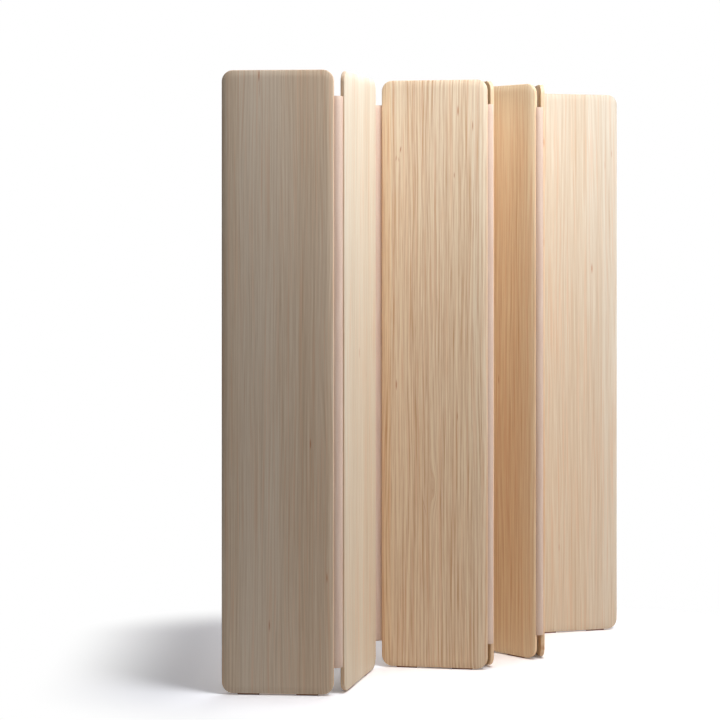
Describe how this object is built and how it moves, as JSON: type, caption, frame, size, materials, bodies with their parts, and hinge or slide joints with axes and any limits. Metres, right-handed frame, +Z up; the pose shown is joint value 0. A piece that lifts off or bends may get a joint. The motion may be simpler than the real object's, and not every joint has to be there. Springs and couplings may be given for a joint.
{
  "type": "folding floor screen",
  "caption": "Free-standing room divider of tall flat wooden panels with rounded corners, joined edge to edge by leather strip hinges and standing on thin felt pads.",
  "frame": {"origin": "on the floor, in the middle of the box round the standing screen's footprint", "axes": "+Z up, +X to the right along the screen seen from its front, +Y away from the front"},
  "size_m": [1.1962, 0.8234, 1.7035],
  "materials": {
    "pine": "oiled satin, fine vertical grain",
    "leather": "natural vegetable-tanned, matt",
    "felt": "pressed wool felt"
  },
  "bodies": {
    "panel_1": {"panel_1": "pine", "foot_pad_1_a": "felt", "foot_pad_1_b": "felt"},
    "hinge_1": {"hinge_strip_1": "leather"},
    "panel_2": {"panel_2": "pine", "foot_pad_2_a": "felt", "foot_pad_2_b": "felt"},
    "hinge_2": {"hinge_strip_2": "leather"},
    "panel_3": {"panel_3": "pine", "foot_pad_3_a": "felt", "foot_pad_3_b": "felt"},
    "hinge_3": {"hinge_strip_3": "leather"},
    "panel_4": {"panel_4": "pine", "foot_pad_4_a": "felt", "foot_pad_4_b": "felt"},
    "hinge_4": {"hinge_strip_4": "leather"},
    "panel_5": {"panel_5": "pine", "foot_pad_5_a": "felt", "foot_pad_5_b": "felt"},
    "hinge_5": {"hinge_strip_5": "leather"},
    "panel_6": {"panel_6": "pine", "foot_pad_6_a": "felt", "foot_pad_6_b": "felt"},
    "hinge_6": {"hinge_strip_6": "leather"},
    "panel_7": {"panel_7": "pine", "foot_pad_7_a": "felt", "foot_pad_7_b": "felt"}
  },
  "joints": [
    {"name": "hinge_1_inner_bend", "type": "hinge", "parent": "panel_2", "child": "hinge_1", "pos_m": [-0.27001, -0.39285, 0.85], "axis": [0, 0, -1], "range_deg": [-128.35, 51.65], "deforming": ["hinge_strip_1"]},
    {"name": "hinge_1_outer_bend", "type": "hinge", "parent": "hinge_1", "child": "panel_1", "pos_m": [-0.28642, -0.40428, 0.85], "axis": [0, 0, -1], "range_deg": [-128.35, 51.65]},
    {"name": "hinge_2_inner_bend", "type": "hinge", "parent": "panel_3", "child": "hinge_2", "pos_m": [-0.16156, -0.07857, 0.85], "axis": [0, 0, 1], "range_deg": [-80.5, 49.5], "deforming": ["hinge_strip_2"]},
    {"name": "hinge_2_outer_bend", "type": "hinge", "parent": "hinge_2", "child": "panel_2", "pos_m": [-0.17838, -0.08938, 0.85], "axis": [0, 0, 1], "range_deg": [-80.5, 49.5]},
    {"name": "hinge_3_inner_bend", "type": "hinge", "parent": "panel_4", "child": "hinge_3", "pos_m": [0.16487, -0.10587, 0.85], "axis": [0, 0, -1], "range_deg": [-97.15, 30.35], "deforming": ["hinge_strip_3"]},
    {"name": "hinge_3_outer_bend", "type": "hinge", "parent": "hinge_3", "child": "panel_3", "pos_m": [0.15251, -0.12159, 0.85], "axis": [0, 0, -1], "range_deg": [-97.15, 30.35]},
    {"name": "hinge_4_inner_bend", "type": "hinge", "parent": "panel_4", "child": "hinge_4", "pos_m": [0.04868, 0.18907, 0.85], "axis": [0, 0, -1], "range_deg": [-96.4, 13.6], "deforming": ["hinge_strip_4"]},
    {"name": "hinge_4_outer_bend", "type": "hinge", "parent": "hinge_4", "child": "panel_5", "pos_m": [0.06505, 0.20058, 0.85], "axis": [0, 0, -1], "range_deg": [-96.4, 13.6]},
    {"name": "hinge_5_inner_bend", "type": "hinge", "parent": "panel_5", "child": "hinge_5", "pos_m": [0.3032, -0.00864, 0.85], "axis": [0, 0, 1], "range_deg": [-101.6, 20.9], "deforming": ["hinge_strip_5"]},
    {"name": "hinge_5_outer_bend", "type": "hinge", "parent": "hinge_5", "child": "panel_6", "pos_m": [0.32089, 0.00068, 0.85], "axis": [0, 0, 1], "range_deg": [-101.6, 20.9]},
    {"name": "hinge_6_inner_bend", "type": "hinge", "parent": "panel_6", "child": "hinge_6", "pos_m": [0.28281, 0.31539, 0.85], "axis": [0, 0, -1], "range_deg": [-89.05, 48.45], "deforming": ["hinge_strip_6"]},
    {"name": "hinge_6_outer_bend", "type": "hinge", "parent": "hinge_6", "child": "panel_7", "pos_m": [0.29418, 0.33184, 0.85], "axis": [0, 0, -1], "range_deg": [-89.05, 48.45]}
  ],
  "couplings": [
    {"joint": "hinge_1_outer_bend", "follows": "hinge_1_inner_bend", "ratio": 1},
    {"joint": "hinge_2_outer_bend", "follows": "hinge_2_inner_bend", "ratio": 1},
    {"joint": "hinge_3_outer_bend", "follows": "hinge_3_inner_bend", "ratio": 1},
    {"joint": "hinge_4_outer_bend", "follows": "hinge_4_inner_bend", "ratio": 1},
    {"joint": "hinge_5_outer_bend", "follows": "hinge_5_inner_bend", "ratio": 1},
    {"joint": "hinge_6_outer_bend", "follows": "hinge_6_inner_bend", "ratio": 1}
  ]
}
